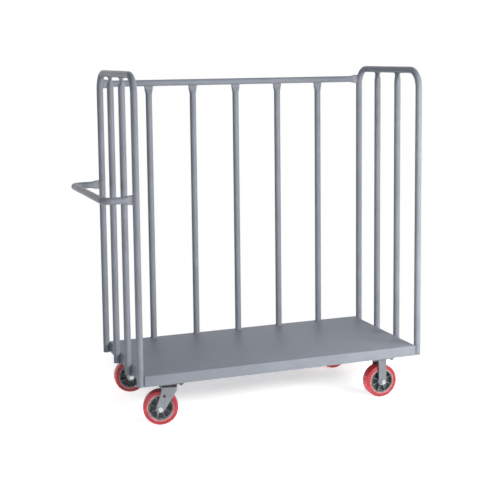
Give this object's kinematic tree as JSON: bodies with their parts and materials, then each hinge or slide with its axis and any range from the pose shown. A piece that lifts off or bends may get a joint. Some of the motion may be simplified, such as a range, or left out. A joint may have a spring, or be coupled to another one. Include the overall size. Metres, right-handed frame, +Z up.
{
  "type": "stock cart",
  "caption": "Welded steel stock cart with a flat deck, tubular end hoops and a barred back, open at the front, with a push handle and red-treaded casters.",
  "frame": {"origin": "on the floor, under the middle of the box round the whole cart with its handle", "axes": "+Z up; +X along the deck, away from the push handle; +Y towards the barred back; the open front is at -Y"},
  "size_m": [1.4986, 0.64, 1.524],
  "materials": {
    "painted_steel": "smooth semi-gloss blue-grey enamel",
    "zinc_steel": "bright zinc plate",
    "bright_steel": "polished zinc plate",
    "polyurethane": "smooth red polyurethane",
    "moulded_core": "dark grey moulded plastic"
  },
  "bodies": {
    "chassis": {"deck_pan": "painted_steel", "caster_channel_left": "painted_steel", "caster_channel_right": "painted_steel", "deck_stiffener": "painted_steel", "end_hoop_left": "painted_steel", "end_bar_left_1": "painted_steel", "end_bar_left_2": "painted_steel", "end_hoop_right": "painted_steel", "end_bar_right_1": "painted_steel", "end_bar_right_2": "painted_steel", "back_top_rail": "painted_steel", "back_bar_1": "painted_steel", "back_bar_2": "painted_steel", "back_bar_3": "painted_steel", "back_bar_4": "painted_steel", "back_bar_5": "painted_steel", "push_handle": "painted_steel", "front_left_top_plate": "zinc_steel", "front_left_kingpin": "bright_steel", "front_left_bolt_1": "bright_steel", "front_left_bolt_2": "bright_steel", "front_left_bolt_3": "bright_steel", "front_left_bolt_4": "bright_steel", "rear_left_top_plate": "zinc_steel", "rear_left_kingpin": "bright_steel", "rear_left_bolt_1": "bright_steel", "rear_left_bolt_2": "bright_steel", "rear_left_bolt_3": "bright_steel", "rear_left_bolt_4": "bright_steel", "front_right_bracket": "zinc_steel", "front_right_axle": "bright_steel", "front_right_bolt_1": "bright_steel", "front_right_bolt_2": "bright_steel", "front_right_bolt_3": "bright_steel", "front_right_bolt_4": "bright_steel", "rear_right_bracket": "zinc_steel", "rear_right_axle": "bright_steel", "rear_right_bolt_1": "bright_steel", "rear_right_bolt_2": "bright_steel", "rear_right_bolt_3": "bright_steel", "rear_right_bolt_4": "bright_steel"},
    "fork_front_left": {"front_left_fork": "zinc_steel", "front_left_ball_race": "zinc_steel", "front_left_axle": "bright_steel"},
    "fork_rear_left": {"rear_left_fork": "zinc_steel", "rear_left_ball_race": "zinc_steel", "rear_left_axle": "bright_steel"},
    "wheel_front_left": {"front_left_bearing": "zinc_steel", "front_left_wheel_core": "moulded_core", "front_left_tread": "polyurethane"},
    "wheel_rear_left": {"rear_left_bearing": "zinc_steel", "rear_left_wheel_core": "moulded_core", "rear_left_tread": "polyurethane"},
    "wheel_front_right": {"front_right_bearing": "zinc_steel", "front_right_wheel_core": "moulded_core", "front_right_tread": "polyurethane"},
    "wheel_rear_right": {"rear_right_bearing": "zinc_steel", "rear_right_wheel_core": "moulded_core", "rear_right_tread": "polyurethane"}
  },
  "joints": [
    {"name": "swivel_front_left", "type": "hinge", "parent": "chassis", "child": "fork_front_left", "pos_m": [-0.457, -0.26, 0.18], "axis": [0, 0, 1], "continuous": true},
    {"name": "swivel_rear_left", "type": "hinge", "parent": "chassis", "child": "fork_rear_left", "pos_m": [-0.457, 0.26, 0.18], "axis": [0, 0, 1], "continuous": true},
    {"name": "spin_front_left", "type": "hinge", "parent": "fork_front_left", "child": "wheel_front_left", "pos_m": [-0.49371, -0.25016, 0.0762], "axis": [0.2588, 0.9659, 0], "continuous": true},
    {"name": "spin_rear_left", "type": "hinge", "parent": "fork_rear_left", "child": "wheel_rear_left", "pos_m": [-0.49479, 0.26397, 0.0762], "axis": [0.1045, 0.9945, 0], "continuous": true},
    {"name": "spin_front_right", "type": "hinge", "parent": "chassis", "child": "wheel_front_right", "pos_m": [0.562, -0.26, 0.0762], "axis": [0, 1, 0], "continuous": true},
    {"name": "spin_rear_right", "type": "hinge", "parent": "chassis", "child": "wheel_rear_right", "pos_m": [0.562, 0.26, 0.0762], "axis": [0, 1, 0], "continuous": true}
  ]
}
